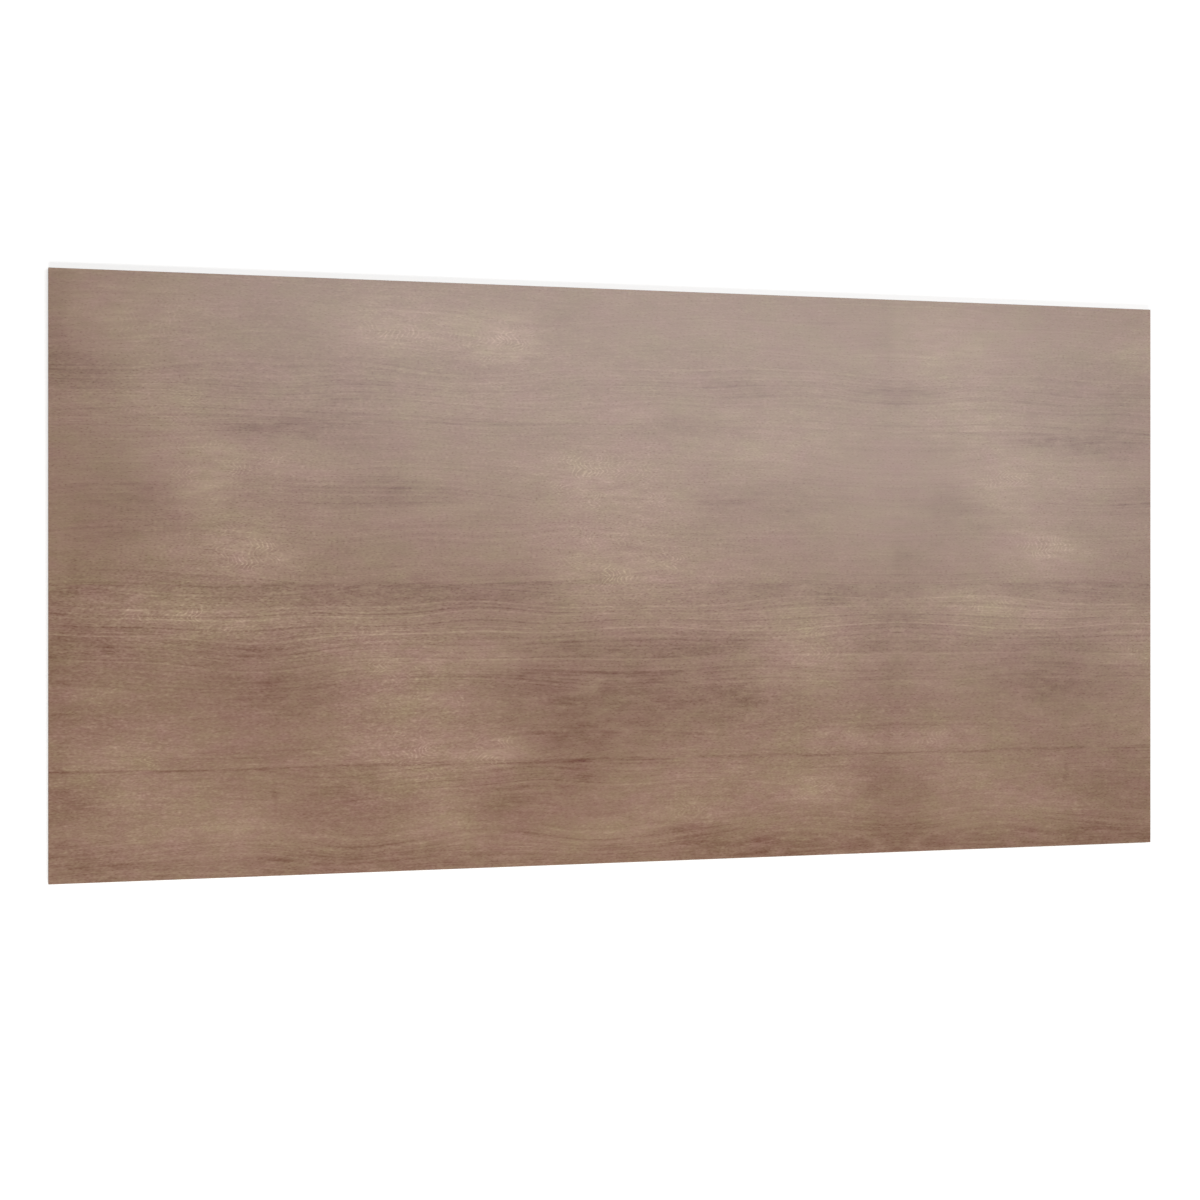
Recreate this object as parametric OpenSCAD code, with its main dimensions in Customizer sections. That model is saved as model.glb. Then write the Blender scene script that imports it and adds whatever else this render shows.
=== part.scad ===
// Plywood sheet: one flat rectangular board, sawn square on all four sides,
// with the arrises of both faces sanded off.
// It lies flat, good face up: X runs along the face grain, Y across it, Z through the thickness.
// The origin is at the middle of the back face.

/* [Sheet] */
// Length of the sheet, along the face grain
sheet_length = 2440; // [600:1:3660]
// Width of the sheet, across the face grain
sheet_width = 1220; // [300:1:1830]
// Thickness of the sheet, from back face to good face
sheet_thickness = 18; // [4:0.1:40]

/* [Edges] */
// Width of the sanded arris along the rim of each face
face_arris = 0.5; // [0.1:0.05:1.5]
// Width of the sanded arris down each of the four corners
corner_arris = 0.8; // [0.1:0.05:3]

/* [Hidden] */

// Corner points of a rectangle about the origin whose four corners are cut at 45 degrees.
function cut_corner_rectangle(span_x, span_y, cut) =
    let (x = span_x / 2, y = span_y / 2)
    [
        [-x + cut, -y], [x - cut, -y],
        [x, -y + cut], [x, y - cut],
        [x - cut, y], [-x + cut, y],
        [-x, y - cut], [-x, -y + cut]
    ];

// Section of the sheet over one of its spans, with its two face arrises at each end.
module edge_section(span) {
    translate([0, sheet_thickness / 2])
        polygon(cut_corner_rectangle(span, sheet_thickness, face_arris));
}

// Plan of the sheet, as it is sawn to size.
module sawn_plan() {
    polygon(cut_corner_rectangle(sheet_length, sheet_width, corner_arris));
}

// The whole sheet: its plan, trimmed by the section along it and the section across it.
module plywood_sheet() {
    color([0.61, 0.52, 0.46])
        intersection() {
            linear_extrude(height = sheet_thickness) sawn_plan();
            rotate([90, 0, 0])
                linear_extrude(height = sheet_width, center = true) edge_section(sheet_length);
            rotate([90, 0, 90])
                linear_extrude(height = sheet_length, center = true) edge_section(sheet_width);
        }
}

plywood_sheet();
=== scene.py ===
"""Plywood sheet lying flat: figured hardwood face, plain back, and sawn edges that show the plies.

The file is laid out as a Blender add-on and is run as a script.
"""
import math

import bpy
from bpy.props import FloatProperty, FloatVectorProperty, IntProperty, PointerProperty
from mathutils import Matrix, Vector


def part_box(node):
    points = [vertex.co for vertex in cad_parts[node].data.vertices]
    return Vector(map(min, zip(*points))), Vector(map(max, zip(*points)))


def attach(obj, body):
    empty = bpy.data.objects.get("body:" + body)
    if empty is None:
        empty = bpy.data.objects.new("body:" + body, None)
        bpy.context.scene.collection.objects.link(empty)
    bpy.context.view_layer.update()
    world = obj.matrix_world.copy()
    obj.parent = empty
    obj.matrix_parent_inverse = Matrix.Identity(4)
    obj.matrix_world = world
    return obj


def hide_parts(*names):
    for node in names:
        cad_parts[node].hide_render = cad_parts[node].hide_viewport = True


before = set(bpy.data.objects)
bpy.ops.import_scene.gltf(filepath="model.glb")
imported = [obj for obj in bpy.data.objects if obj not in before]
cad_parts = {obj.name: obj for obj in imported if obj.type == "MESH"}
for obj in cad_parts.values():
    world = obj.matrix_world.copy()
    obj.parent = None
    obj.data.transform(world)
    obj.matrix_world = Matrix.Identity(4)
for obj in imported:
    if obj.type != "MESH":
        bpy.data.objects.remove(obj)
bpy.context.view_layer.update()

bl_info = {
    "name": "Plywood sheet",
    "version": (1, 0, 0),
    "blender": (4, 5, 0),
    "location": "3D View > Sidebar > Plywood",
    "description": "Builds a veneered plywood sheet and its studio",
    "category": "Add Mesh",
}

MM = 0.001
NODE = "plywood_sheet"
PIECE = "plywood_sheet_veneered"
BODY = "root"

sheet_low, sheet_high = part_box(NODE)
sheet_size = sheet_high - sheet_low

# Kinds of node that are used often
MATH = "ShaderNodeMath"
VECTOR = "ShaderNodeVectorMath"
COMBINE = "ShaderNodeCombineXYZ"
SEPARATE = "ShaderNodeSeparateXYZ"
COORDINATES = "ShaderNodeTexCoord"
ATTRIBUTE = "ShaderNodeAttribute"
MAPPING = "ShaderNodeMapping"
NOISE = "ShaderNodeTexNoise"
RANGE = "ShaderNodeMapRange"
MIX = "ShaderNodeMix"
PRINCIPLED = "ShaderNodeBsdfPrincipled"
OUTPUT = "ShaderNodeOutputMaterial"
POSITION = "GeometryNodeInputPosition"
NORMAL = "GeometryNodeInputNormal"
SWITCH = "GeometryNodeSwitch"
STORE = "GeometryNodeStoreNamedAttribute"
STORED = "GeometryNodeInputNamedAttribute"
SET_MATERIAL = "GeometryNodeSetMaterial"
SET_POSITION = "GeometryNodeSetPosition"


def linear(hex_colour):
    """Turn an sRGB hex value into linear red, green, blue and full alpha."""
    parts = [int(hex_colour[i:i + 2], 16) / 255 for i in (1, 3, 5)]
    return [p / 12.92 if p <= 0.04045 else ((p + 0.055) / 1.055) ** 2.4 for p in parts] + [1.0]


def put(tree, kind, inputs=(), **settings):
    """Add a node, apply its settings, then set or link its inputs, given in order or by name."""
    made = tree.nodes.new(kind)
    for name, value in settings.items():
        setattr(made, name, value)
    pairs = inputs.items() if isinstance(inputs, dict) else enumerate(inputs)
    for key, value in pairs:
        if isinstance(key, int):
            socket = made.inputs[key]
        else:
            socket = next(s for s in made.inputs if s.enabled and s.name == key)
        if isinstance(value, bpy.types.Node):
            value = next(s for s in value.outputs if s.enabled)
        if isinstance(value, bpy.types.NodeSocket):
            tree.links.new(value, socket)
        else:
            socket.default_value = value
    return made


def new_material(name):
    """Make an empty node material and return it with its tree."""
    material = bpy.data.materials.new(name)
    material.use_nodes = True
    material.node_tree.nodes.clear()
    return material, material.node_tree


# Figure of the face veneer, in millimetres from the middle of the sheet.
# Each mark has its place along and across the grain, its reach both ways and its strength.
# The figure repeats from one end match of the leaves to the next, so one length of it is given.

CLOUDS = (
    (-1075, 525, 200, 110, 0.27),
    (-535, 535, 150, 60, 0.22),
    (-420, 500, 220, 50, 0.22),
    (-295, 500, 85, 55, 0.32),
    (-1180, 400, 115, 32, -0.30),
    (590, 400, 115, 35, -0.28),
    (-670, 400, 250, 75, -0.10),
    (-605, 375, 125, 50, -0.16),
    (200, 395, 130, 30, -0.18),
    (-85, 395, 150, 28, -0.08),
    (330, 400, 200, 30, -0.10),
    (-1020, 350, 150, 50, 0.25),
    (-420, 370, 200, 50, 0.17),
    (-55, 345, 150, 32, 0.17),
    (245, 375, 120, 50, 0.10),
    (-820, 300, 100, 30, -0.28),
    (-680, 300, 115, 30, -0.28),
    (115, 320, 125, 22, -0.14),
    (-920, 245, 150, 100, 0.22),
    (-735, 225, 100, 30, 0.22),
    (-155, 200, 125, 60, 0.27),
    (-20, 220, 150, 75, 0.18),
    (-320, 225, 180, 60, 0.10),
    (230, 260, 125, 75, 0.15),
    (380, 295, 130, 65, 0.15),
    (-1070, 160, 100, 50, -0.18),
    (-535, 170, 125, 35, -0.28),
    (-285, 175, 150, 26, -0.15),
    (165, 160, 80, 20, -0.16),
    (315, 170, 150, 50, -0.15),
    (-910, 175, 75, 75, 0.22),
    (15, 150, 125, 38, 0.22),
    (-935, 50, 200, 50, 0.18),
    (-805, 35, 100, 60, 0.27),
    (-835, 95, 75, 50, 0.20),
    (-70, 60, 175, 75, 0.28),
    (45, 10, 225, 35, 0.28),
    (-1085, 60, 125, 75, -0.15),
    (-1185, 35, 40, 38, -0.20),
    (-670, -32, 225, 26, -0.22),
    (-420, -32, 200, 24, -0.20),
    (-305, -48, 125, 60, -0.22),
    (345, -32, 150, 30, -0.18),
    (545, -28, 150, 25, -0.17),
    (-1185, -32, 70, 25, -0.20),
    (-1020, -62, 150, 30, 0.27),
    (-885, -105, 150, 50, 0.22),
    (-820, -75, 120, 30, 0.10),
    (365, -105, 125, 60, 0.20),
    (-55, -55, 150, 50, 0.13),
    (95, -105, 150, 25, 0.13),
    (-605, -105, 100, 50, 0.20),
    (590, -105, 100, 75, -0.15),
    (-1185, -105, 100, 75, -0.15),
    (-1105, -145, 50, 20, -0.18),
    (-805, -148, 125, 25, -0.18),
    (-920, -148, 100, 20, -0.13),
    (-180, -148, 100, 35, -0.20),
    (45, -152, 175, 30, -0.23),
    (195, -148, 125, 25, -0.16),
    (545, -148, 75, 25, -0.20),
    (-385, -140, 150, 25, -0.13),
    (-485, -172, 175, 55, 0.24),
    (-305, -170, 75, 25, 0.16),
    (365, -190, 125, 75, 0.24),
    (-1155, -240, 125, 20, 0.20),
    (-620, -190, 100, 40, 0.13),
    (-770, -248, 150, 60, -0.20),
    (-835, -222, 200, 50, -0.14),
    (-285, -222, 150, 30, -0.16),
    (-140, -272, 200, 110, -0.20),
    (-60, -330, 300, 55, -0.16),
    (15, -232, 250, 60, -0.20),
    (165, -265, 175, 60, -0.18),
    (280, -265, 100, 25, -0.14),
    (590, -208, 60, 25, -0.20),
    (-1185, -208, 60, 25, -0.15),
    (590, -298, 100, 60, -0.20),
    (-1185, -298, 100, 60, -0.16),
    (-555, -282, 150, 50, 0.13),
    (-420, -258, 125, 40, 0.20),
    (-1120, -358, 175, 35, 0.26),
    (-420, -358, 225, 50, 0.32),
    (-320, -372, 75, 30, 0.26),
    (465, -352, 125, 30, 0.24),
    (-155, -372, 100, 75, -0.15),
    (-770, -372, 150, 40, -0.10),
    (-1185, -458, 88, 60, -0.24),
    (590, -448, 88, 60, -0.26),
    (-1055, -440, 150, 50, 0.17),
    (-870, -498, 125, 35, 0.18),
    (-620, -472, 150, 60, -0.18),
    (-435, -440, 125, 50, 0.17),
    (-420, -515, 100, 38, 0.24),
    (-355, -458, 75, 60, -0.16),
    (-280, -508, 100, 50, -0.18),
    (115, -458, 150, 75, 0.12),
    (95, -498, 100, 30, 0.20),
    (-20, -540, 125, 35, 0.20),
    (345, -458, 120, 60, 0.14),
    (420, -472, 100, 35, 0.20),
    (-220, -440, 150, 50, -0.13),
    (-120, -422, 75, 38, -0.13),
    (-985, -522, 250, 25, 0.12),
    (-1185, -565, 150, 50, -0.24),
    (590, -565, 150, 50, -0.24),
    (-670, -585, 150, 35, -0.20),
    (-420, -582, 120, 30, -0.12),
    (245, -582, 150, 38, -0.24),
    (145, -558, 100, 25, -0.12),
)

DARK_LINES = (
    (-450, -18, 800, 5, -0.16),
    (0, -17, 20000, 4, -0.08),
    (-1105, -146, 45, 8, -0.12),
    (-805, -150, 60, 8, -0.14),
    (-178, -148, 45, 10, -0.14),
    (20, -146, 50, 8, -0.14),
    (-350, -205, 600, 7, -0.12),
    (250, -207, 500, 6, -0.10),
    (0, -390, 20000, 3, -0.40),
    (-300, -400, 350, 6, -0.12),
    (0, -575, 20000, 6, -0.14),
    (0, -602, 20000, 24, -0.18),
    (88, -540, 36, 7, -0.36),
    (-300, 320, 600, 3, -0.24),
    (170, 322, 140, 3, -0.24),
    (-1050, 315, 50, 8, -0.16),
    (-930, 310, 50, 7, -0.14),
    (-830, 301, 60, 9, -0.18),
    (-237, 457, 32, 6, -0.26),
    (165, 160, 70, 6, -0.16),
    (-775, -447, 8, 24, -0.30),
)

# Where the fibres ripple and the fine grain stands out, laid on the strength of the fine grain.
LIVELY_PLACES = (
    (-750, 385, 700, 90, 0.25),
    (-420, 530, 250, 90, 0.15),
    (-1120, 535, 150, 100, -0.40),
    (0, 540, 250, 60, -0.30),
    (620, 540, 350, 90, -0.50),
    (1000, 560, 300, 60, -0.30),
    (-710, 230, 180, 90, 0.20),
    (-100, 230, 220, 110, 0.25),
    (620, 210, 250, 130, -0.40),
    (-1120, 200, 150, 130, -0.25),
    (-850, 80, 230, 100, 0.30),
    (0, 60, 230, 100, 0.35),
    (650, 70, 250, 100, -0.30),
    (-950, -75, 450, 110, 0.50),
    (100, -75, 1300, 80, 0.25),
    (-305, -90, 120, 100, -0.25),
    (-510, -300, 170, 180, 0.40),
    (-100, -300, 170, 200, -0.25),
    (350, -300, 300, 180, 0.20),
    (-1120, -400, 150, 200, 0.25),
    (-200, -530, 200, 80, -0.15),
    (710, -530, 200, 80, -0.15),
)

# Where the growth rings show as fine lines.
RING_ZONES = (
    (-950, -80, 700, 90, 0.8),
    (100, -75, 900, 90, 0.8),
    (-750, 355, 600, 70, 0.7),
    (300, 390, 500, 60, 0.5),
    (-550, 165, 200, 60, 0.5),
    (0, -585, 20000, 50, 0.6),
    (-250, -415, 500, 40, 0.5),
    (-150, -205, 900, 40, 0.4),
)

# Grain of the face veneer: period along and across the grain in millimetres, octaves and strength.
STREAK_GRAIN = (
    (48, 14, 2, 0.8),
)
BROAD_GRAIN = (
    (330, 120, 1, 0.08),
    (75, 40, 1, 0.10),
    (80, 18, 1, 0.08),
)
FINE_GRAIN = (
    (24, 14, 1, 0.08),
    (11, 4.5, 1, 0.16),
    (60, 5, 2, 0.11),
)
PORE_GRAIN = (
    (6, 2.5, 1, 0.33),
)

# Side by side joints between the leaves of face veneer, in millimetres across from the middle.
LEAF_JOINTS = (-390, -17, 321)

# Growth rings, in millimetres: their spacing, and the length and width of their bends.
# The sway counts the rings that a bend shifts, and the depth is what a ring does to the tone.
RING_SPACING = 6.0
RING_BEND = (550, 170)
RING_SWAY = 6.0
RING_DEPTH = 0.35

# Ripple flecks, in millimetres: their spacing along the grain, the height and sway of each fold,
# the reach of a group, and the reach of their unevenness, which is counted in turns.
FLECK_SPACING = 10.0
FLECK_FOLD = 14.0
FOLD_SWAY = 30.0
FLECK_GROUP = (60, 32)
FLECK_WOBBLE = (36, 18)
FLECK_TURNS = 1.0
FLECK_DEPTH = 0.32
# Share of the depth between two flecks, where the wood is darker than plain,
# and the spans of the groups' noise and of the clouds over which the flecks come in.
FLECK_GAP = -0.3
GROUP_RANGE = (0.42, 0.66)
RIPPLE_RANGE = (0.05, 0.35)

# Drift of the clouds and wander of the lines: period both ways and reach both ways, in millimetres.
DRIFT_PERIOD = (140, 40)
DRIFT_REACH = (40, 16)
WANDER_PERIOD = (330, 330)
WANDER_REACH = (0, 5)

# Rose and olive patches, in millimetres along and across, the detail and roughness of their noise,
# and where it is all rose and all olive.
HUE_PERIOD = (110, 65)
HUE_DETAIL = 4.0
HUE_ROUGHNESS = 0.75
HUE_RANGE = (0.33, 0.67)

# Tone of plain wood, and the gain on its colour where the tone is nought and where it is one.
PLAIN_TONE = 0.5
DARK_GAIN = (0.66, 0.5, 0.39, 1)
PALE_GAIN = (1.34, 1.5, 1.61, 1)

# Rings and fine grain outside the places given for them.
PLAIN_RINGS = 0.3
PLAIN_GRAIN = 0.95

# How far the clouds change the tone of the wood, and how sharply streaks break up the dark lines.
CLOUD_DEPTH = 0.95
LINE_BREAK = 3.0

# How much more the pale fibres stand out than the dark ones, and how much pores roughen the lacquer.
PALE_FIBRES = 1.5
PORE_ROUGHNESS = 0.04

# Relief that the light can catch, in millimetres.
FACE_RELIEF = 0.008
BACK_RELIEF = 0.05
EDGE_RELIEF = 0.06

# Refraction of lacquer and wood, and of the glue.
WOOD_IOR = 1.5
GLUE_IOR = 1.55

# Roughness of the bare back, of long grain and end grain, and of the glue.
BACK_ROUGHNESS = 0.62
LONG_ROUGHNESS = 0.7
END_ROUGHNESS = 0.85
GLUE_ROUGHNESS = 0.45

# A mark fades from its core to its rim, given as shares of its reach.
MARK_CORE = 0.1
MARK_RIM = 1.5

# Layers of noise are read this far apart, so that no two repeat each other.
LAYER_STEP = (7.3, 3.1, 1.7)
LEAF_STEP = 3.7
BACK_STEP = 5.0

# Strength of each octave of noise beside the one before it.
OCTAVE_SHARE = 0.6


def shares(lengths):
    """Turn periods in millimetres into a scale for a pattern."""
    return [1 / (length * MM) for length in lengths] + [1.0]


def lay_grain(tree, place, layers, tone):
    """Add layers of noise, stretched along the grain, to a tone."""
    for number, (along, across, octaves, strength) in enumerate(layers, 1):
        stretched = put(tree, MAPPING, {
            "Vector": place,
            "Location": [number * step for step in LAYER_STEP],
            "Scale": shares((along, across)),
        })
        noise = put(tree, NOISE, {
            "Vector": stretched, "Scale": 1.0, "Detail": octaves - 1, "Roughness": OCTAVE_SHARE,
        }, normalize=False)
        tone = put(tree, MATH, (noise, strength, tone), operation="MULTIPLY_ADD")
    return tone


def lay_marks(tree, place, marks, tone):
    """Add soft patches, each fading out from its middle, to a tone."""
    for along, across, reach_along, reach_across, strength in marks:
        spread = (1 / (reach_along * MM), 1 / (reach_across * MM), 0)
        middle = (-along / reach_along, -across / reach_across, 0)
        patch = put(tree, VECTOR, (place, spread, middle), operation="MULTIPLY_ADD")
        away = put(tree, VECTOR, (patch,), operation="LENGTH")
        fade = put(tree, RANGE, {
            "Value": away.outputs["Value"], "From Min": MARK_RIM, "From Max": MARK_CORE, "To Max": strength,
        }, interpolation_type="SMOOTHSTEP")
        tone = put(tree, MATH, (fade, tone), operation="ADD")
    return tone


def lay_figure(tree, sheet, given):
    """Store the broad figure of the good face on the points of the sheet."""
    spot = put(tree, POSITION)
    apart = put(tree, SEPARATE, (spot,)).outputs
    start = put(tree, MATH, (given["Match"], given["Leaf Length"]), operation="SUBTRACT")
    on_leaf = put(tree, MATH, (apart["X"], given["Match"], start), operation="WRAP")
    plain = put(tree, COMBINE, (on_leaf, apart["Y"], 0.0))

    # Drift gives the clouds streaky ends.
    drift = put(tree, VECTOR, (spot, shares(DRIFT_PERIOD)), operation="MULTIPLY")
    drift = put(tree, NOISE, {"Vector": drift, "Scale": 1.0, "Detail": 2.0}, normalize=False)
    reach = [length * MM for length in DRIFT_REACH] + [0.0]
    bent = put(tree, VECTOR, (drift.outputs["Color"], reach, plain), operation="MULTIPLY_ADD")
    for name, place, marks, least in (
        ("figure", bent, CLOUDS, 0.0),
        ("rings", bent, RING_ZONES, PLAIN_RINGS),
        ("lively", spot, LIVELY_PLACES, PLAIN_GRAIN),
    ):
        sheet = put(tree, STORE, {
            "Geometry": sheet, "Name": name, "Value": lay_marks(tree, place, marks, least),
        }, data_type="FLOAT", domain="POINT")
    return sheet


def leaf_place(tree, apart, match):
    """Mirror the grain past the match of the leaves, and give leaves side by side grain of their own."""
    past = put(tree, MATH, (apart["X"], match), operation="SUBTRACT")
    past = put(tree, MATH, (past,), operation="ABSOLUTE")
    matched = put(tree, MATH, (match, past), operation="SUBTRACT")
    leaf = 0.0
    for joint in LEAF_JOINTS:
        beyond = put(tree, MATH, (apart["Y"], joint * MM), operation="GREATER_THAN")
        leaf = put(tree, MATH, (beyond, LEAF_STEP, leaf), operation="MULTIPLY_ADD")
    return matched, put(tree, COMBINE, (matched, apart["Y"], leaf))


def wandering_lines(tree, apart, place, look):
    """Draw the dark lines, which stray a little across the grain."""
    leaf_start = look.match_place - look.leaf_length
    on_leaf = put(tree, MATH, (apart["X"], look.match_place, leaf_start), operation="WRAP")
    plain = put(tree, COMBINE, (on_leaf, apart["Y"], 0.0))
    wander = put(tree, MAPPING, {"Vector": place, "Scale": shares(WANDER_PERIOD)})
    wander = put(tree, NOISE, {"Vector": wander, "Scale": 1.0, "Detail": 2.0}, normalize=False)
    reach = [length * MM for length in WANDER_REACH] + [0.0]
    lined = put(tree, VECTOR, (wander.outputs["Color"], reach, plain), operation="MULTIPLY_ADD")
    return lay_marks(tree, lined, DARK_LINES, 0.0)


def growth_rings(tree, apart, bend):
    """Draw rings, some dark and some faint, that sway along the grain and run to points."""
    ring = put(tree, MATH, (apart["Y"], 1 / (RING_SPACING * MM)), operation="MULTIPLY")
    ring = put(tree, MATH, (bend, RING_SWAY, ring), operation="MULTIPLY_ADD")
    return put(tree, NOISE, {
        "W": ring, "Scale": 1.0, "Detail": 2.0, "Roughness": OCTAVE_SHARE,
    }, noise_dimensions="1D", normalize=False)


def chevrons(tree, apart, place, matched, bend):
    """Draw uneven waves that cross the grain and turn back at each fold."""
    wobble = put(tree, MAPPING, {"Vector": place, "Scale": shares(FLECK_WOBBLE)})
    wobble = put(tree, NOISE, {"Vector": wobble, "Scale": 1.0, "Detail": 1.0}, normalize=False)
    wave = put(tree, MATH, (bend, FOLD_SWAY * MM, apart["Y"]), operation="MULTIPLY_ADD")
    wave = put(tree, MATH, (wave, FLECK_FOLD * MM), operation="PINGPONG")
    wave = put(tree, MATH, (wave, matched), operation="ADD")
    wave = put(tree, MATH, (wave, math.tau / (FLECK_SPACING * MM)), operation="MULTIPLY")
    wave = put(tree, MATH, (wobble, math.tau * FLECK_TURNS, wave), operation="MULTIPLY_ADD")
    return put(tree, MATH, (wave,), operation="SINE")


def finish_wood(tree, colour, roughness, relief, height):
    """Give a wood its colour, its roughness and a relief that follows height."""
    bump = put(tree, "ShaderNodeBump", {"Strength": 1.0, "Distance": relief * MM, "Height": height})
    shader = put(tree, PRINCIPLED, {
        "Base Color": colour, "Roughness": roughness, "IOR": WOOD_IOR, "Normal": bump,
    })
    put(tree, OUTPUT, {"Surface": shader})


def face_veneer(look):
    """Sliced brown hardwood under satin lacquer.

    The eye gets soft pale and dark clouds, long fine rings, pale flecks where the fibres ripple,
    and a broad sheen from the lacquer.
    """
    material, tree = new_material("sliced_hardwood_veneer_satin_lacquer")
    spot = put(tree, COORDINATES).outputs["Object"]
    apart = put(tree, SEPARATE, (spot,)).outputs
    figure = put(tree, ATTRIBUTE, attribute_name="figure").outputs["Fac"]
    rings = put(tree, ATTRIBUTE, attribute_name="rings").outputs["Fac"]
    lively = put(tree, ATTRIBUTE, attribute_name="lively").outputs["Fac"]
    matched, place = leaf_place(tree, apart, look.match_place)

    # Clouds break up into streaks, and so do the dark lines.
    streak = lay_grain(tree, place, STREAK_GRAIN, 1.0)
    tone = put(tree, MATH, (figure, streak), operation="MULTIPLY")
    tone = put(tree, MATH, (tone, CLOUD_DEPTH, PLAIN_TONE), operation="MULTIPLY_ADD")
    tone = lay_grain(tree, place, BROAD_GRAIN, tone)
    lines = wandering_lines(tree, apart, place, look)
    broken = put(tree, MATH, (streak, LINE_BREAK), operation="POWER", use_clamp=True)
    tone = put(tree, MATH, (lines, broken, tone), operation="MULTIPLY_ADD")

    # Rings and folds share one slow bend along the grain.
    bend = put(tree, MAPPING, {"Vector": place, "Scale": shares(RING_BEND)})
    bend = put(tree, NOISE, {"Vector": bend, "Scale": 1.0, "Detail": 1.0}, normalize=False)
    ring = growth_rings(tree, apart, bend)
    ring = put(tree, MATH, (ring, streak), operation="MULTIPLY")
    ring = put(tree, MATH, (ring, rings), operation="MULTIPLY")
    tone = put(tree, MATH, (ring, RING_DEPTH, tone), operation="MULTIPLY_ADD")

    # Where the fibres ripple, pale flecks cross the grain in groups.
    fleck = chevrons(tree, apart, place, matched, bend)
    fleck = put(tree, RANGE, {"Value": fleck, "To Min": FLECK_GAP, "To Max": 1.0})
    group = put(tree, MAPPING, {"Vector": place, "Scale": shares(FLECK_GROUP)})
    group = put(tree, NOISE, {"Vector": group, "Scale": 1.0, "Detail": 1.0})
    group = put(tree, RANGE, {"Value": group, "From Min": GROUP_RANGE[0], "From Max": GROUP_RANGE[1]})
    ripple = put(tree, RANGE, {
        "Value": figure, "From Min": RIPPLE_RANGE[0], "From Max": RIPPLE_RANGE[1], "To Max": FLECK_DEPTH,
    })
    fine = lay_grain(tree, place, FINE_GRAIN, 0.0)
    fleck = put(tree, MATH, (fleck, group), operation="MULTIPLY")
    fine = put(tree, MATH, (fleck, ripple, fine), operation="MULTIPLY_ADD")
    pores = lay_grain(tree, place, PORE_GRAIN, 0.0)
    fine = put(tree, MATH, (fine, pores), operation="ADD")
    pale = put(tree, MATH, (fine, fine), operation="MULTIPLY")
    fine = put(tree, MATH, (pale, PALE_FIBRES, fine), operation="MULTIPLY_ADD")
    tone = put(tree, MATH, (fine, lively, tone), operation="MULTIPLY_ADD")

    # Rose and olive patches have the same depth.
    hue = put(tree, MAPPING, {"Vector": place, "Scale": shares(HUE_PERIOD)})
    hue = put(tree, NOISE, {"Vector": hue, "Scale": 1.0, "Detail": HUE_DETAIL, "Roughness": HUE_ROUGHNESS})
    hue = put(tree, RANGE, {"Value": hue, "From Min": HUE_RANGE[0], "From Max": HUE_RANGE[1]})
    wood = put(tree, MIX, {"Factor": hue, "A": look.face_rose, "B": look.face_olive}, data_type="RGBA")
    gain = put(tree, MIX, {
        "Factor": tone, "A": DARK_GAIN, "B": PALE_GAIN,
    }, data_type="RGBA", clamp_factor=False)
    colour = put(tree, MIX, {"Factor": 1.0, "A": wood, "B": gain}, data_type="RGBA", blend_type="MULTIPLY")
    roughness = put(tree, MATH, (pores, PORE_ROUGHNESS, look.face_roughness), operation="MULTIPLY_ADD")
    finish_wood(tree, colour, roughness, FACE_RELIEF, pores)
    return material


BACK_GRAIN = (
    (700, 260, 2, 0.12),
    (320, 14, 2, 0.10),
    (90, 5, 1, 0.10),
    (14, 3, 1, 0.10),
)

# Loops of the back: length and width in millimetres, octave share, number, sharpness and depth.
LOOP_PERIOD = (1100, 240)
LOOP_SHARE = 0.35
LOOP_COUNT = 26.0
LOOP_EDGE = 2.5
LOOP_DEPTH = -0.14


def back_veneer(look):
    """Rotary-cut balancing veneer, sanded and left bare.

    The eye gets a broad wavy figure, fine pores along the grain and no shine.
    """
    material, tree = new_material("rotary_cut_veneer_sanded")
    spot = put(tree, COORDINATES).outputs["Object"]
    apart = put(tree, SEPARATE, (spot,)).outputs
    place = put(tree, COMBINE, (apart["X"], apart["Y"], BACK_STEP))
    tone = lay_grain(tree, place, BACK_GRAIN, PLAIN_TONE)

    # Rotary cutting meets each ring in wide loops.
    loop = put(tree, MAPPING, {"Vector": place, "Scale": shares(LOOP_PERIOD)})
    loop = put(tree, NOISE, {"Vector": loop, "Scale": 1.0, "Detail": 2.0, "Roughness": LOOP_SHARE})
    loop = put(tree, MATH, (loop, LOOP_COUNT), operation="MULTIPLY")
    loop = put(tree, MATH, (loop,), operation="FRACT")
    loop = put(tree, MATH, (loop, LOOP_EDGE), operation="POWER")
    tone = put(tree, MATH, (loop, LOOP_DEPTH, tone), operation="MULTIPLY_ADD")
    colour = put(tree, MIX, {"Factor": tone, "A": look.back_dark, "B": look.back_pale}, data_type="RGBA")
    finish_wood(tree, colour, BACK_ROUGHNESS, BACK_RELIEF, tone)
    return material


LONG_GRAIN = (
    (240, 1.6, 2, 0.16),
    (60, 0.5, 2, 0.20),
    (9, 0.35, 1, 0.14),
)
END_GRAIN = (
    (40, 1.2, 2, 0.10),
    (1.4, 1.1, 2, 0.22),
    (0.8, 7, 1, 0.16),
)

# How far the tint of one ply may stray, and the lean and the pitch in millimetres of the saw's marks.
PLY_TINT = 0.16
SAW_LEAN = 0.25
SAW_PITCH = 3


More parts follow.
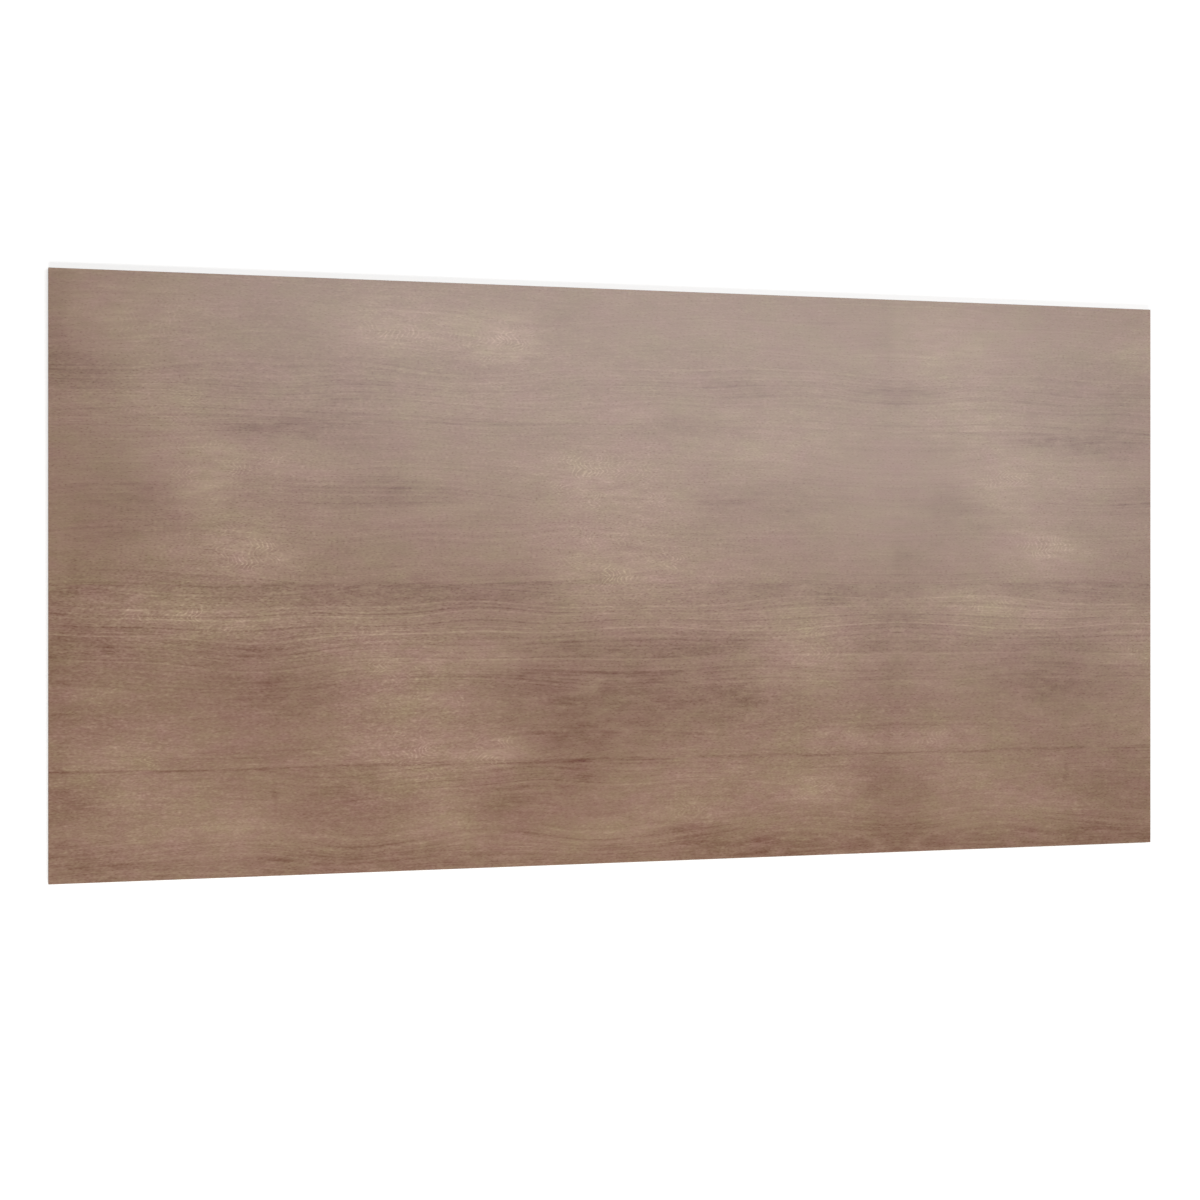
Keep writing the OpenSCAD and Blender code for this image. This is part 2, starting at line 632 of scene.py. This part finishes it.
def ply_edge(name, grain, dark, pale, roughness):
    """Sawn edge of a core ply: grain lines or pores, a tint of its own and faint marks of the saw."""
    material, tree = new_material(name)
    spot = put(tree, COORDINATES).outputs["Object"]
    apart = put(tree, SEPARATE, (spot,)).outputs
    # On any edge one of the two is the same all along, so their sum runs with the edge.
    along = put(tree, MATH, (apart["X"], apart["Y"]), operation="ADD")
    ply = put(tree, ATTRIBUTE, attribute_name="ply").outputs["Fac"]
    place = put(tree, COMBINE, (along, apart["Z"], ply))
    tone = lay_grain(tree, place, grain, PLAIN_TONE)
    tint = put(tree, "ShaderNodeTexWhiteNoise", {"W": ply}, noise_dimensions="1D")
    tint = put(tree, RANGE, {"Value": tint, "To Min": -PLY_TINT, "To Max": PLY_TINT})
    tone = put(tree, MATH, (tone, tint), operation="ADD")
    colour = put(tree, MIX, {"Factor": tone, "A": dark, "B": pale}, data_type="RGBA")

    # Saw marks lean a little and are drawn coarser than a fine blade leaves them.
    saw = put(tree, MATH, (apart["Z"], SAW_LEAN, along), operation="MULTIPLY_ADD")
    saw = put(tree, NOISE, {"W": saw, "Scale": 1 / (SAW_PITCH * MM), "Detail": 1.0}, noise_dimensions="1D")
    height = put(tree, MATH, (saw, tone), operation="ADD")
    finish_wood(tree, colour, roughness, EDGE_RELIEF, height)
    return material


# Smears of the glue, in millimetres, and where they are darkest and palest.
SMEAR_PERIOD = 9
SMEAR_RANGE = (0.3, 0.7)


def glue_line(look):
    """Phenolic glue between the plies: a dark brown hairline, a little glossy, smeared by the saw."""
    material, tree = new_material("phenolic_glue_line")
    spot = put(tree, COORDINATES).outputs["Object"]
    smear = put(tree, NOISE, {
        "Vector": spot, "Scale": 1 / (SMEAR_PERIOD * MM), "Detail": 3.0, "Roughness": OCTAVE_SHARE,
    })
    smear = put(tree, RANGE, {"Value": smear, "From Min": SMEAR_RANGE[0], "From Max": SMEAR_RANGE[1]})
    colour = put(tree, MIX, {"Factor": smear, "A": look.glue_dark, "B": look.glue_pale}, data_type="RGBA")
    shader = put(tree, PRINCIPLED, {"Base Color": colour, "Roughness": GLUE_ROUGHNESS, "IOR": GLUE_IOR})
    put(tree, OUTPUT, {"Surface": shader})
    return material


# Kinds of input that the sheet's tree takes
INPUT_KINDS = {
    float: "NodeSocketFloat",
    int: "NodeSocketInt",
    bpy.types.Material: "NodeSocketMaterial",
}

# Waves of the glue lines and of the plies' edges, to the metre
GLUE_WAVES = 9.0
EDGE_WAVES = 14.0

# Points closer than this, in millimetres, are one.
MERGE_REACH = 0.001

# A side is a face, or an edge or end, where its normal passes these shares.
LEVEL = 0.99
UPRIGHT = 0.3

# Name of the unfolded map, laid out for baking the woods onto
MAP_NAME = "OFBake"

# Where each side of the sheet lies on its unfolded map: lower left corner and reach, as shares of the map.
# The edges are drawn taller than they are, so that the plies still show there.
UNFOLDED = {
    "left end": ((0.004, 0.004), (0.490, 0.036)),
    "right end": ((0.506, 0.004), (0.490, 0.036)),
    "front edge": ((0.004, 0.044), (0.992, 0.036)),
    "rear edge": ((0.004, 0.084), (0.992, 0.036)),
    "back": ((0.004, 0.126), (0.992, 0.259)),
    "face": ((0.004, 0.390), (0.992, 0.606)),
}


def cut_plan(tree, given, size, half):
    """Make even cells inside a narrow rim, and store the plan they lie on, with its corners cut back."""
    minus_half = put(tree, VECTOR, (size, (-0.5, -0.5, -0.5)), operation="MULTIPLY")
    cell = put(tree, COMBINE, (given["Cell Length"], given["Cell Width"], 1.0))
    cells = put(tree, VECTOR, (size, cell), operation="DIVIDE")
    cells = put(tree, VECTOR, (cells,), operation="CEIL")
    rimmed = put(tree, VECTOR, (cells, (2, 2, 2)), operation="ADD")
    points = put(tree, VECTOR, (rimmed, (1, 1, 1)), operation="ADD")
    points = put(tree, SEPARATE, (points,)).outputs
    grid = put(tree, "GeometryNodeMeshGrid", {
        "Size X": 2.0, "Size Y": 2.0, "Vertices X": points["X"], "Vertices Y": points["Y"],
    })
    cut = put(tree, COMBINE, (given["Corner Arris"], given["Corner Arris"], 0.0))
    inner = put(tree, VECTOR, (half, cut), operation="SUBTRACT")
    spread = put(tree, VECTOR, (rimmed, cells), operation="DIVIDE")
    spread = put(tree, VECTOR, (spread, inner), operation="MULTIPLY")
    plan = put(tree, VECTOR, (put(tree, POSITION), spread), operation="MULTIPLY")
    plan = put(tree, VECTOR, (plan, half), operation="MINIMUM")
    plan = put(tree, VECTOR, (plan, minus_half), operation="MAXIMUM")

    # A corner point moves in by half the arris both ways.
    half_cut = put(tree, VECTOR, (cut, (0.5, 0.5, 0.5)), operation="MULTIPLY")
    rim = put(tree, VECTOR, (half, half_cut), operation="SUBTRACT")
    outward = put(tree, VECTOR, (plan,), operation="ABSOLUTE")
    past = put(tree, VECTOR, (outward, rim), operation="SUBTRACT")
    past = put(tree, SEPARATE, (past,)).outputs
    at_corner = put(tree, MATH, (past["X"], past["Y"]), operation="MINIMUM")
    at_corner = put(tree, MATH, (at_corner, 0.0), operation="GREATER_THAN")
    way = put(tree, VECTOR, (plan,), operation="SIGN")
    pulled = put(tree, VECTOR, (way, half_cut), operation="MULTIPLY")
    pulled = put(tree, VECTOR, {"Vector": pulled, "Scale": at_corner}, operation="SCALE")
    plan = put(tree, VECTOR, (plan, pulled), operation="SUBTRACT")

    base = put(tree, SET_MATERIAL, {"Geometry": grid, "Material": given["Face Wood"]})
    base = put(tree, STORE, {
        "Geometry": base, "Name": "plan", "Value": plan,
    }, data_type="FLOAT_VECTOR", domain="POINT")
    return put(tree, STORE, {
        "Geometry": base, "Name": "lid", "Value": True,
    }, data_type="BOOLEAN", domain="FACE")


def rim_place(tree, plan, half, inset, height):
    """Place of a point of the plan once it is drawn in by inset and raised to height."""
    shrink = put(tree, COMBINE, (inset, inset, 0.0))
    shrink = put(tree, VECTOR, (shrink, half), operation="DIVIDE")
    shrink = put(tree, VECTOR, ((1, 1, 0), shrink), operation="SUBTRACT")
    raised = put(tree, COMBINE, (0.0, 0.0, height))
    return put(tree, VECTOR, (plan, shrink, raised), operation="MULTIPLY_ADD")


def ply_levels(tree, given, plan, ply, is_first, is_last):
    """Height, rim and depth at the bottom of a ply and at its top."""
    core = put(tree, MATH, (given["Veneer"], -2.0, given["Thickness"]), operation="MULTIPLY_ADD")
    core_plies = put(tree, MATH, (given["Plies"], 2.0), operation="SUBTRACT")
    core = put(tree, MATH, (core, core_plies), operation="DIVIDE")
    half_line = put(tree, MATH, (given["Glue Line"], 0.5), operation="MULTIPLY")
    levels = []
    for step, outermost in ((0.0, is_first), (1.0, is_last)):
        level = put(tree, MATH, (ply, step), operation="ADD")
        height = put(tree, MATH, (level, 1.0), operation="SUBTRACT")
        height = put(tree, MATH, (height, core, given["Veneer"]), operation="MULTIPLY_ADD")
        height = put(tree, "ShaderNodeClamp", {"Value": height, "Min": 0.0, "Max": given["Thickness"]})
        draw = put(tree, MATH, (level, LEAF_STEP, given["Seed"]), operation="MULTIPLY_ADD")
        wave = put(tree, NOISE, {
            "Vector": plan, "W": draw, "Scale": GLUE_WAVES, "Detail": 1.0,
        }, noise_dimensions="4D", normalize=False)
        wave = put(tree, MATH, (wave, given["Wander"]), operation="MULTIPLY")
        wave, rim, depth = [
            put(tree, SWITCH, {"Switch": outermost, "False": inner, "True": outer}, input_type="FLOAT")
            for inner, outer in (
                (wave, 0.0), (half_line, given["Face Arris"]), (given["Glue Depth"], given["Face Arris"]))
        ]
        levels.append((put(tree, MATH, (height, wave), operation="ADD"), rim, depth))
    return levels


def unfold(tree, sheet, given):
    """Store an unfolded map on which each side of the sheet has a place of its own."""
    facing = put(tree, "GeometryNodeFieldOnDomain", {
        "Value": put(tree, NORMAL),
    }, data_type="FLOAT_VECTOR", domain="FACE")
    facing = put(tree, SEPARATE, (facing,)).outputs
    share = put(tree, COMBINE, (given["Length"], given["Width"], given["Thickness"]))
    share = put(tree, VECTOR, (put(tree, POSITION), share), operation="DIVIDE")
    share = put(tree, VECTOR, (share, (0.5, 0.5, 0.0)), operation="ADD")
    share = put(tree, SEPARATE, (share,)).outputs
    unfolded = None
    for side, along, across, way, limit in (
        ("front edge", "X", "Z", None, None),
        ("rear edge", "X", "Z", "Y", UPRIGHT),
        ("left end", "Y", "Z", "X", -UPRIGHT),
        ("right end", "Y", "Z", "X", UPRIGHT),
        ("back", "X", "Y", "Z", -LEVEL),
        ("face", "X", "Y", "Z", LEVEL),
    ):
        corner, reach = UNFOLDED[side]
        here = put(tree, COMBINE, (share[along], share[across], 0.0))
        here = put(tree, VECTOR, (here, (*reach, 0), (*corner, 0)), operation="MULTIPLY_ADD")
        if way is None:
            unfolded = here
            continue
        test = "GREATER_THAN" if limit > 0 else "LESS_THAN"
        turned = put(tree, MATH, (facing[way], limit), operation=test)
        unfolded = put(tree, SWITCH, {
            "Switch": turned, "False": unfolded, "True": here,
        }, input_type="VECTOR")
    return put(tree, STORE, {
        "Geometry": sheet, "Name": MAP_NAME, "Value": unfolded,
    }, data_type="FLOAT2", domain="CORNER")


def sheet_tree(values):
    """Grow the sheet from its back, ply after ply, up to the good face."""
    tree = bpy.data.node_groups.new("Plywood sheet", "GeometryNodeTree")
    for name, value in values.items():
        tree.interface.new_socket(name, in_out="INPUT", socket_type=INPUT_KINDS[type(value)])
    tree.interface.new_socket("Sheet", in_out="OUTPUT", socket_type="NodeSocketGeometry")
    given = put(tree, "NodeGroupInput").outputs
    size = put(tree, COMBINE, (given["Length"], given["Width"], 1.0))
    half = put(tree, VECTOR, (size, (0.5, 0.5, 0.5)), operation="MULTIPLY")
    base = cut_plan(tree, given, size, half)
    plan = put(tree, STORED, {"Name": "plan"}, data_type="FLOAT_VECTOR")
    lid = put(tree, STORED, {"Name": "lid"}, data_type="BOOLEAN")
    start = put(tree, SET_POSITION, {
        "Geometry": base, "Position": rim_place(tree, plan, half, given["Face Arris"], 0.0),
    })
    back = put(tree, "GeometryNodeFlipFaces", {"Mesh": start})
    back = put(tree, SET_MATERIAL, {"Geometry": back, "Material": given["Back Wood"]})

    # One turn of the loop adds a ply.
    zone_in = tree.nodes.new("GeometryNodeRepeatInput")
    zone_out = tree.nodes.new("GeometryNodeRepeatOutput")
    zone_in.pair_with_output(zone_out)
    tree.links.new(start.outputs["Geometry"], zone_in.inputs["Geometry"])
    tree.links.new(given["Plies"], zone_in.inputs["Iterations"])
    ply = zone_in.outputs["Iteration"]
    is_first = put(tree, MATH, (ply, 0.5), operation="LESS_THAN")
    before_last = put(tree, MATH, (given["Plies"], 1.5), operation="SUBTRACT")
    is_last = put(tree, MATH, (ply, before_last), operation="GREATER_THAN")
    levels = ply_levels(tree, given, plan, ply, is_first, is_last)
    (low, low_rim, _), (high, high_rim, high_depth) = levels

    # Inner plies stand back a little, each its own way.
    draw = put(tree, MATH, (ply, -LEAF_STEP, given["Seed"]), operation="MULTIPLY_ADD")
    wear = put(tree, NOISE, {
        "Vector": plan, "W": draw, "Scale": EDGE_WAVES, "Detail": 2.0,
    }, noise_dimensions="4D")
    wear = put(tree, MATH, (wear, given["Setback"]), operation="MULTIPLY")
    outer_ply = put(tree, MATH, (is_first, is_last), operation="MAXIMUM")
    wear = put(tree, SWITCH, {"Switch": outer_ply, "False": wear, "True": 0.0}, input_type="FLOAT")

    # Neighbouring plies cross, so an edge shows long grain and end grain by turns.
    facing = put(tree, VECTOR, (put(tree, NORMAL),), operation="ABSOLUTE")
    facing = put(tree, SEPARATE, (facing,)).outputs
    on_end = put(tree, MATH, (facing["X"], facing["Y"]), operation="GREATER_THAN")
    crossed = put(tree, MATH, (ply, 2.0), operation="MODULO")
    end_grain = put(tree, MATH, (crossed, on_end), operation="SUBTRACT")
    end_grain = put(tree, MATH, (end_grain,), operation="ABSOLUTE")

    # From the glue line to the ply's lower rim, up its edge, and in to the next glue line.
    bottom = put(tree, MATH, (low, low_rim), operation="ADD")
    top_rim = put(tree, MATH, (high, high_rim), operation="SUBTRACT")
    outer_woods = (("Back Wood", is_first), ("Face Wood", is_last))
    body = zone_in
    for inset, height, woods in (
        (wear, bottom, (("Glue", 1.0), ("Back Wood", is_first))),
        (wear, top_rim, (("Long Grain", 1.0), ("End Grain", end_grain), *outer_woods)),
        (high_depth, high, (("Glue", 1.0), ("Face Wood", is_last))),
    ):
        grown = put(tree, "GeometryNodeExtrudeMesh", {
            "Mesh": body.outputs["Geometry"], "Selection": lid, "Offset Scale": 0.0, "Individual": False,
        }, mode="FACES")
        top, side = grown.outputs["Top"], grown.outputs["Side"]
        body = put(tree, STORE, {
            "Geometry": grown, "Name": "lid", "Value": top,
        }, data_type="BOOLEAN", domain="FACE")
        body = put(tree, STORE, {
            "Geometry": body, "Selection": side, "Name": "ply", "Value": ply,
        }, data_type="FLOAT", domain="FACE")
        body = put(tree, SET_POSITION, {
            "Geometry": body, "Selection": top, "Position": rim_place(tree, plan, half, inset, height),
        })
        for wood, where in woods:
            chosen = put(tree, MATH, (side, where), operation="MULTIPLY")
            body = put(tree, SET_MATERIAL, {
                "Geometry": body, "Selection": chosen, "Material": given[wood],
            })
    tree.links.new(body.outputs["Geometry"], zone_out.inputs["Geometry"])

    whole = put(tree, "GeometryNodeJoinGeometry")
    tree.links.new(back.outputs["Geometry"], whole.inputs["Geometry"])
    tree.links.new(zone_out.outputs["Geometry"], whole.inputs["Geometry"])
    whole = put(tree, "GeometryNodeMergeByDistance", {"Geometry": whole, "Distance": MERGE_REACH * MM})
    for name in ("plan", "lid"):
        whole = put(tree, "GeometryNodeRemoveAttribute", {"Geometry": whole, "Name": name})
    whole = put(tree, "GeometryNodeSetShadeSmooth", {"Geometry": whole, "Shade Smooth": False})
    whole = lay_figure(tree, whole, given)
    whole = unfold(tree, whole, given)
    whole = put(tree, "GeometryNodeRealizeInstances", {"Geometry": whole})
    upward = put(tree, SEPARATE, (put(tree, NORMAL),)).outputs["Z"]
    whole = put(tree, SET_MATERIAL, {
        "Geometry": whole,
        "Selection": put(tree, MATH, (upward, LEVEL), operation="GREATER_THAN"),
        "Material": given["Face Wood"],
    })
    put(tree, "NodeGroupOutput", {"Sheet": whole})
    return tree


def colour_property(name, description, hex_colour):
    """Colour that a user can change."""
    return FloatVectorProperty(
        name=name, description=description, default=linear(hex_colour),
        size=4, subtype="COLOR", min=0, max=1)


def length_property(name, description, millimetres):
    """Length that a user can change."""
    return FloatProperty(name=name, description=description, default=millimetres * MM, unit="LENGTH")


class PlywoodSheetSizes(bpy.types.PropertyGroup):
    """Sizes of the sheet that its look depends on."""
    plies: IntProperty(
        name="Plies", description="Veneers glued together, both faces included", default=13, min=3)
    veneer: length_property("Face veneer", "Thickness of each outer veneer", 0.6)
    face_arris: length_property("Face arris", "Blunting of the edges round both faces", 0.5)
    corner_arris: length_property("Corner arris", "Blunting of the four corners", 0.8)
    glue_line: length_property("Glue line", "Thickness of the glue between plies", 0.12)
    glue_depth: length_property("Glue depth", "How far the glue lies behind the edge", 0.15)
    setback: length_property("Setback", "How far a core ply may stand back at the edge", 0.12)
    wander: length_property("Wander", "How far a glue line strays from level", 0.15)
    cell_length: length_property("Cell length", "Spacing of the mesh along the faces", 25)
    cell_width: length_property("Cell width", "Spacing of the mesh across the faces", 10)
    seed: FloatProperty(
        name="Seed", description="Draw of the plies' waves", default=4.0)


class PlywoodLook(bpy.types.PropertyGroup):
    """Colours and finish of the woods."""
    face_rose: colour_property("Rose wood", "Warm patches of the face veneer", "#886453")
    face_olive: colour_property("Olive wood", "Olive patches of the face veneer", "#84684C")
    face_roughness: FloatProperty(
        name="Face roughness", description="Roughness of the lacquer", default=0.28, subtype="FACTOR")
    match_place: length_property("Match", "Where the leaves meet end to end", 593)
    leaf_length: length_property("Leaf length", "Length after which the figure repeats", 1780)
    back_dark: colour_property("Back, dark", "Dark grain of the back veneer", "#7C5F49")
    back_pale: colour_property("Back, pale", "Pale wood of the back veneer", "#C9AC90")
    long_dark: colour_property("Long grain, dark", "Dark grain on core plies sawn along the grain", "#8F6C4A")
    long_pale: colour_property("Long grain, pale", "Pale wood on core plies sawn along the grain", "#DCC19B")
    end_dark: colour_property("End grain, dark", "Pores on core plies sawn across the grain", "#533B28")
    end_pale: colour_property("End grain, pale", "Wood on core plies sawn across the grain", "#B08D68")
    glue_dark: colour_property("Glue, dark", "Thick glue between the plies", "#35241A")
    glue_pale: colour_property("Glue, pale", "Glue smeared by the saw", "#6A4C35")


class PlywoodStage(bpy.types.PropertyGroup):
    """Floor, camera and lights."""
    lens: FloatProperty(
        name="Lens", description="Focal length on a full-frame sensor",
        default=62.16, subtype="DISTANCE_CAMERA")
    camera_place: FloatVectorProperty(
        name="Camera", description="Place of the camera from the middle of the good face",
        default=(-1.2605, 0.0, 4.2378), unit="LENGTH", subtype="XYZ")
    camera_tilt: FloatProperty(
        name="Tilt", description="Turn of the camera from straight down, towards the right end",
        default=math.radians(15.46), subtype="ANGLE")
    frame_shift: FloatProperty(
        name="Shift", description="Shift of the frame that the photograph's crop needs",
        default=-0.02, subtype="FACTOR")
    softbox_power: FloatProperty(
        name="Softbox", description="Power of the softbox", default=465.0, subtype="POWER")
    softbox_size: FloatVectorProperty(
        name="Softbox size", description="Sides of the softbox",
        default=(7.8, 3.2), size=2, unit="LENGTH")
    softbox_place: FloatVectorProperty(
        name="Softbox place", description="Middle of the softbox",
        default=(3.3, 1.76, 9.0), unit="LENGTH", subtype="XYZ")
    softbox_turn: FloatProperty(
        name="Softbox turn", description="Turn of the softbox about the upright",
        default=math.radians(-9.5), subtype="ANGLE")
    front_power: FloatProperty(
        name="Front light", description="Power of the front light", default=175.0, subtype="POWER")
    front_size: FloatVectorProperty(
        name="Front light size", description="Sides of the front light",
        default=(3.0, 1.8), size=2, unit="LENGTH")
    front_place: FloatVectorProperty(
        name="Front light place", description="Middle of the front light",
        default=(-1.0, -3.0, 3.8), unit="LENGTH", subtype="XYZ")
    fill: FloatProperty(
        name="Fill", description="Strength of the surrounding light", default=0.1, subtype="FACTOR")
    floor_grey: colour_property("Floor", "Colour of the floor", "#D2D2D2")
    floor_reach: FloatProperty(
        name="Floor reach", description="Half the side of the floor", default=12.0, unit="LENGTH")
    floor_lift: FloatProperty(
        name="Floor lift", description="Light added to the floor by the sheet, in the picture alone",
        default=0.58, subtype="FACTOR")
    floor_fade: FloatProperty(
        name="Floor fade", description="Distance at which the floor has gone over into the white surround",
        default=3.0, unit="LENGTH")


class PLYWOOD_OT_sheet(bpy.types.Operator):
    """Build the sheet with its plies and woods"""
    bl_idname = "plywood.sheet"
    bl_label = "Plywood sheet"

    def execute(self, context):
        sizes = context.scene.plywood_sizes
        look = context.scene.plywood_look
        long_woods = (look.long_dark, look.long_pale)
        end_woods = (look.end_dark, look.end_pale)
        values = {
            "Length": sheet_size.x,
            "Width": sheet_size.y,
            "Thickness": sheet_size.z,
            "Plies": sizes.plies,
            "Veneer": sizes.veneer,
            "Face Arris": sizes.face_arris,
            "Corner Arris": sizes.corner_arris,
            "Glue Line": sizes.glue_line,
            "Glue Depth": sizes.glue_depth,
            "Setback": sizes.setback,
            "Wander": sizes.wander,
            "Cell Length": sizes.cell_length,
            "Cell Width": sizes.cell_width,
            "Seed": sizes.seed,
            "Match": look.match_place,
            "Leaf Length": look.leaf_length,
            "Face Wood": face_veneer(look),
            "Back Wood": back_veneer(look),
            "Long Grain": ply_edge("core_ply_long_grain_sawn", LONG_GRAIN, *long_woods, LONG_ROUGHNESS),
            "End Grain": ply_edge("core_ply_end_grain_sawn", END_GRAIN, *end_woods, END_ROUGHNESS),
            "Glue": glue_line(look),
        }
        tree = sheet_tree(values)
        piece = bpy.data.objects.new(PIECE, bpy.data.meshes.new(PIECE))
        context.scene.collection.objects.link(piece)
        grower = piece.modifiers.new("Plies", "NODES")
        grower.node_group = tree
        for socket in tree.interface.items_tree:
            if socket.in_out == "INPUT":
                grower[socket.identifier] = values[socket.name]
        mesh = bpy.data.meshes.new_from_object(piece.evaluated_get(context.evaluated_depsgraph_get()))
        piece.modifiers.remove(grower)
        piece.data = mesh
        if not mesh.polygons:
            raise RuntimeError("the sheet came out empty")
        # The grid that the sheet grows from brings an empty slot.
        mesh.materials.pop(index=list(mesh.materials).index(None))
        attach(piece, BODY)
        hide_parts(NODE)
        return {"FINISHED"}


# Width of the camera's sensor, in millimetres
SENSOR_WIDTH = 36.0
WHITE = (1, 1, 1, 1)


def seen(tree):
    """Give one to what the camera, a gloss or a clear body sees, and nought to light that bounces on."""
    path = put(tree, "ShaderNodeLightPath").outputs
    share = put(tree, MATH, (path["Is Camera Ray"], path["Is Glossy Ray"]), operation="MAXIMUM")
    return put(tree, MATH, (share, path["Is Transmission Ray"]), operation="MAXIMUM")


def floor_paper(stage):
    """Matt white paper, with a soft shadow by the sheet, that goes over into the white surround."""
    material, tree = new_material("matt_white_paper")
    shown = seen(tree)
    away = put(tree, COORDINATES).outputs["Object"]
    away = put(tree, VECTOR, (away,), operation="LENGTH")
    lift = put(tree, RANGE, {
        "Value": away, "From Min": sheet_high.x, "From Max": stage.floor_fade,
        "To Min": stage.floor_lift, "To Max": 1.0,
    }, interpolation_type="SMOOTHSTEP")
    lift = put(tree, MATH, (lift, shown), operation="MULTIPLY")
    glow = put(tree, "ShaderNodeEmission", {"Color": WHITE, "Strength": lift})
    matt = put(tree, "ShaderNodeBsdfDiffuse", {"Color": stage.floor_grey})
    both = put(tree, "ShaderNodeAddShader", (glow, matt))
    put(tree, OUTPUT, {"Surface": both})
    return material


def lay_floor(scene, stage):
    """Lay a square of paper under the sheet."""
    reach = stage.floor_reach
    mesh = bpy.data.meshes.new("floor")
    corners = [(-reach, -reach, 0), (reach, -reach, 0), (reach, reach, 0), (-reach, reach, 0)]
    mesh.from_pydata(corners, [], [(0, 1, 2, 3)])
    mesh.materials.append(floor_paper(stage))
    floor = bpy.data.objects.new("floor", mesh)
    scene.collection.objects.link(floor)


def light_studio(scene, stage):
    """Surround that is white where it is seen, a softbox for the sheen, and a front light for the wood."""
    world = bpy.data.worlds.new("studio")
    scene.world = world
    world.use_nodes = True
    tree = world.node_tree
    tree.nodes.clear()
    strength = put(tree, RANGE, {"Value": seen(tree), "To Min": stage.fill, "To Max": 1.0})
    sky = put(tree, "ShaderNodeBackground", {"Color": WHITE, "Strength": strength})
    put(tree, "ShaderNodeOutputWorld", {"Surface": sky})
    for name, power, size, place, turn in (
        ("softbox", stage.softbox_power, stage.softbox_size, stage.softbox_place, stage.softbox_turn),
        ("front light", stage.front_power, stage.front_size, stage.front_place, 0.0),
    ):
        light = bpy.data.lights.new(name, "AREA")
        light.shape = "RECTANGLE"
        light.size, light.size_y = size
        light.energy = power
        lamp = bpy.data.objects.new(name, light)
        lamp.location = place
        lamp.rotation_euler = (0, 0, turn)
        lamp.visible_camera = False
        scene.collection.objects.link(lamp)


def set_camera(scene, stage):
    """Look down on the sheet at a slant."""
    lens = bpy.data.cameras.new("camera")
    lens.lens = stage.lens
    lens.sensor_width = SENSOR_WIDTH
    lens.shift_y = stage.frame_shift
    camera = bpy.data.objects.new("camera", lens)
    camera.location = stage.camera_place
    camera.location.z += sheet_high.z
    camera.rotation_euler = (0, -stage.camera_tilt, 0)
    scene.collection.objects.link(camera)
    scene.camera = camera


class PLYWOOD_OT_stage(bpy.types.Operator):
    """Set the floor, the lights and the camera"""
    bl_idname = "plywood.stage"
    bl_label = "Studio"

    def execute(self, context):
        scene = context.scene
        stage = scene.plywood_stage
        scene.view_settings.view_transform = "Standard"
        lay_floor(scene, stage)
        light_studio(scene, stage)
        set_camera(scene, stage)
        return {"FINISHED"}


class PLYWOOD_PT_panel(bpy.types.Panel):
    """Sizes, woods and studio of the plywood sheet"""
    bl_idname = "PLYWOOD_PT_panel"
    bl_label = "Plywood sheet"
    bl_space_type = "VIEW_3D"
    bl_region_type = "UI"
    bl_category = "Plywood"

    def draw(self, context):
        for group in GROUPS:
            values = getattr(context.scene, group)
            for name in values.__annotations__:
                self.layout.prop(values, name)
        self.layout.operator(PLYWOOD_OT_sheet.bl_idname)
        self.layout.operator(PLYWOOD_OT_stage.bl_idname)


GROUPS = {
    "plywood_sizes": PlywoodSheetSizes,
    "plywood_look": PlywoodLook,
    "plywood_stage": PlywoodStage,
}
CLASSES = (*GROUPS.values(), PLYWOOD_OT_sheet, PLYWOOD_OT_stage, PLYWOOD_PT_panel)


def register():
    """Make the groups, the operators and the panel known to Blender."""
    for made in CLASSES:
        bpy.utils.register_class(made)
    for name, group in GROUPS.items():
        setattr(bpy.types.Scene, name, PointerProperty(type=group))


def unregister():
    """Take them away again."""
    for name in GROUPS:
        delattr(bpy.types.Scene, name)
    for made in reversed(CLASSES):
        bpy.utils.unregister_class(made)


def main():
    """Build the sheet and its studio."""
    register()
    bpy.ops.plywood.sheet()
    bpy.ops.plywood.stage()


if __name__ == "__main__":
    main()
